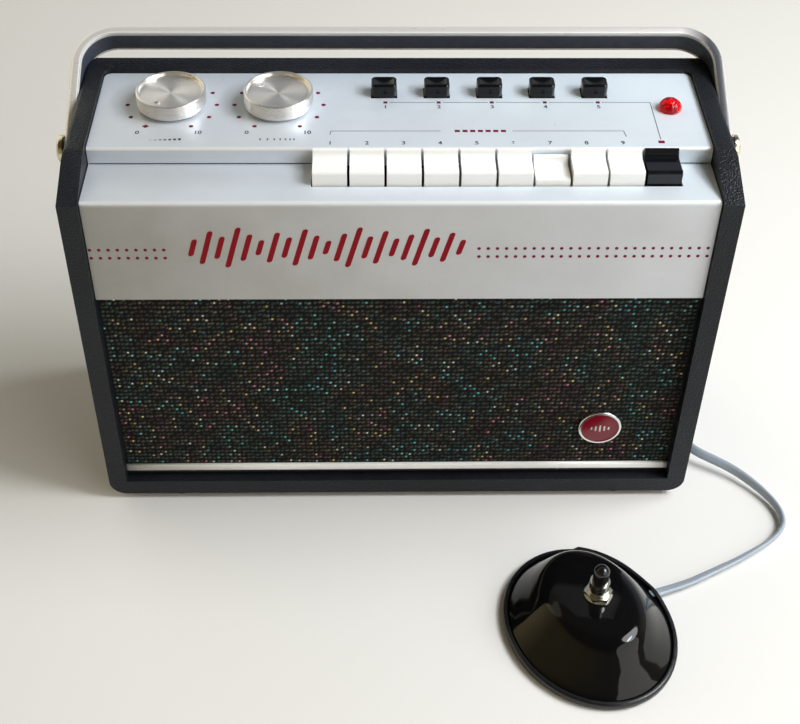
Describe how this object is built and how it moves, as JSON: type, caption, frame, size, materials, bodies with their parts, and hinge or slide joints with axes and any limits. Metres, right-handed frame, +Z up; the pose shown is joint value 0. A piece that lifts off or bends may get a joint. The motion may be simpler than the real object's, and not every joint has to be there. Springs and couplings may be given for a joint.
{
  "type": "drum machine",
  "caption": "Portable rhythm box: covered cabinet, stepped aluminium fascia with knobs, pads and piano-style keys, fold-back bail handle and a corded oval foot switch.",
  "frame": {"origin": "middle of the base of the box round everything but the cord, on the floor", "axes": "+X to the right of the player, along the cabinet's length; +Y to the back; +Z up"},
  "size_m": [0.4311, 0.4195, 0.2578],
  "materials": {
    "covered_board": "black grained covering over board",
    "back_board": "painted hardboard",
    "baffle": "black stained board",
    "screw_steel": "plated steel",
    "black_rubber": "matt",
    "grille_cloth": "black weave with coloured metallic threads",
    "bright_trim": "polished",
    "badge_chrome": "bright",
    "badge_red": "glossy dark red",
    "satin_sheet": "satin",
    "spun_aluminium": "spun, with a conical sheen",
    "control_metal": "plated",
    "black_caps": "glossy black",
    "phenolic": "brown laminate",
    "ivory_keys": "glossy ivory",
    "lamp_red": "clear red moulding",
    "handle_chrome": "bright",
    "handle_black": "dark slate",
    "boss_brass": "polished",
    "speaker_steel": "grey enamel",
    "speaker_paper": "black pulp",
    "magnet_steel": "plated plates",
    "transformer_iron": "varnished",
    "inlet_plastic": "black moulding",
    "foot_enamel": "glossy black enamel",
    "base_steel": "grey paint",
    "bush_nickel": "nickel plated",
    "cord_grey": "satin blue-grey flat cord"
  },
  "bodies": {
    "cabinet": {"cabinet_shell": "covered_board", "back_panel": "back_board", "back_screws": "screw_steel", "feet": "black_rubber", "baffle_board": "baffle", "grille_cloth": "grille_cloth", "grille_trim": "bright_trim", "badge_rim": "badge_chrome", "badge_face": "badge_red", "front_panel": "satin_sheet", "control_deck": "satin_sheet", "volume_control": "control_metal", "tempo_control": "control_metal", "pad_switches": "phenolic", "key_switch_bank": "phenolic", "lamp_lens": "lamp_red", "lamp_holder": "screw_steel", "pivot_bosses": "boss_brass", "speaker_frame": "speaker_steel", "speaker_cone": "speaker_paper", "speaker_magnet": "magnet_steel", "circuit_board": "phenolic", "transformer": "transformer_iron", "mains_inlet": "inlet_plastic", "line_jack": "screw_steel", "foot_jack": "screw_steel", "foot_shell": "foot_enamel", "foot_edging": "black_rubber", "foot_base": "base_steel", "foot_bush": "bush_nickel", "foot_switch_body": "inlet_plastic", "cord_plug": "inlet_plastic", "cord_tail": "cord_grey", "cord_coil": "cord_grey", "cord_run": "cord_grey"},
    "carrying_handle": {"handle": "handle_chrome", "handle_liner": "handle_black"},
    "volume": {"volume_knob": "spun_aluminium", "volume_shaft": "screw_steel"},
    "tempo": {"tempo_knob": "spun_aluminium", "tempo_shaft": "screw_steel"},
    "pad_1_cap": {"pad_1": "black_caps"},
    "pad_2_cap": {"pad_2": "black_caps"},
    "pad_3_cap": {"pad_3": "black_caps"},
    "pad_4_cap": {"pad_4": "black_caps"},
    "pad_5_cap": {"pad_5": "black_caps"},
    "key_1_cap": {"key_1": "ivory_keys"},
    "key_2_cap": {"key_2": "ivory_keys"},
    "key_3_cap": {"key_3": "ivory_keys"},
    "key_4_cap": {"key_4": "ivory_keys"},
    "key_5_cap": {"key_5": "ivory_keys"},
    "key_6_cap": {"key_6": "ivory_keys"},
    "key_7_cap": {"key_7": "ivory_keys"},
    "key_8_cap": {"key_8": "ivory_keys"},
    "key_9_cap": {"key_9": "ivory_keys"},
    "key_10_cap": {"key_10": "black_caps"},
    "plunger": {"foot_plunger": "black_caps"}
  },
  "joints": [
    {"name": "handle_pivot", "type": "hinge", "parent": "cabinet", "child": "carrying_handle", "pos_m": [0, 0.075, 0.2195], "axis": [1, 0, 0], "range_deg": [0, 136]},
    {"name": "volume_turn", "type": "hinge", "parent": "cabinet", "child": "volume", "pos_m": [-0.1268, 0.0925, 0.24], "axis": [0, 0, -1], "range_deg": [0, 300]},
    {"name": "tempo_turn", "type": "hinge", "parent": "cabinet", "child": "tempo", "pos_m": [-0.0674, 0.0925, 0.24], "axis": [0, 0, -1], "range_deg": [-90, 210]},
    {"name": "pad_1_press", "type": "slide", "parent": "cabinet", "child": "pad_1_cap", "axis": [0, 0, -1], "range_m": [0, 0.0025], "stiffness_N_per_m": 300, "springref_m": -0.002},
    {"name": "pad_2_press", "type": "slide", "parent": "cabinet", "child": "pad_2_cap", "axis": [0, 0, -1], "range_m": [0, 0.0025], "stiffness_N_per_m": 300, "springref_m": -0.002},
    {"name": "pad_3_press", "type": "slide", "parent": "cabinet", "child": "pad_3_cap", "axis": [0, 0, -1], "range_m": [0, 0.0025], "stiffness_N_per_m": 300, "springref_m": -0.002},
    {"name": "pad_4_press", "type": "slide", "parent": "cabinet", "child": "pad_4_cap", "axis": [0, 0, -1], "range_m": [0, 0.0025], "stiffness_N_per_m": 300, "springref_m": -0.002},
    {"name": "pad_5_press", "type": "slide", "parent": "cabinet", "child": "pad_5_cap", "axis": [0, 0, -1], "range_m": [0, 0.0025], "stiffness_N_per_m": 300, "springref_m": -0.002},
    {"name": "key_1_press", "type": "slide", "parent": "cabinet", "child": "key_1_cap", "axis": [0, 0, -1], "range_m": [0, 0.004], "stiffness_N_per_m": 250, "springref_m": -0.002},
    {"name": "key_2_press", "type": "slide", "parent": "cabinet", "child": "key_2_cap", "axis": [0, 0, -1], "range_m": [0, 0.004], "stiffness_N_per_m": 250, "springref_m": -0.002},
    {"name": "key_3_press", "type": "slide", "parent": "cabinet", "child": "key_3_cap", "axis": [0, 0, -1], "range_m": [0, 0.004], "stiffness_N_per_m": 250, "springref_m": -0.002},
    {"name": "key_4_press", "type": "slide", "parent": "cabinet", "child": "key_4_cap", "axis": [0, 0, -1], "range_m": [0, 0.004], "stiffness_N_per_m": 250, "springref_m": -0.002},
    {"name": "key_5_press", "type": "slide", "parent": "cabinet", "child": "key_5_cap", "axis": [0, 0, -1], "range_m": [0, 0.004], "stiffness_N_per_m": 250, "springref_m": -0.002},
    {"name": "key_6_press", "type": "slide", "parent": "cabinet", "child": "key_6_cap", "axis": [0, 0, -1], "range_m": [0, 0.004], "stiffness_N_per_m": 250, "springref_m": -0.002},
    {"name": "key_7_press", "type": "slide", "parent": "cabinet", "child": "key_7_cap", "axis": [0, 0, -1], "range_m": [-0.004, 0]},
    {"name": "key_8_press", "type": "slide", "parent": "cabinet", "child": "key_8_cap", "axis": [0, 0, -1], "range_m": [0, 0.004], "stiffness_N_per_m": 250, "springref_m": -0.002},
    {"name": "key_9_press", "type": "slide", "parent": "cabinet", "child": "key_9_cap", "axis": [0, 0, -1], "range_m": [0, 0.004], "stiffness_N_per_m": 250, "springref_m": -0.002},
    {"name": "key_10_press", "type": "slide", "parent": "cabinet", "child": "key_10_cap", "axis": [0, 0, -1], "range_m": [0, 0.004], "stiffness_N_per_m": 250, "springref_m": -0.002},
    {"name": "plunger_press", "type": "slide", "parent": "cabinet", "child": "plunger", "axis": [0, 0, -1], "range_m": [0, 0.006], "stiffness_N_per_m": 800, "springref_m": -0.002}
  ]
}
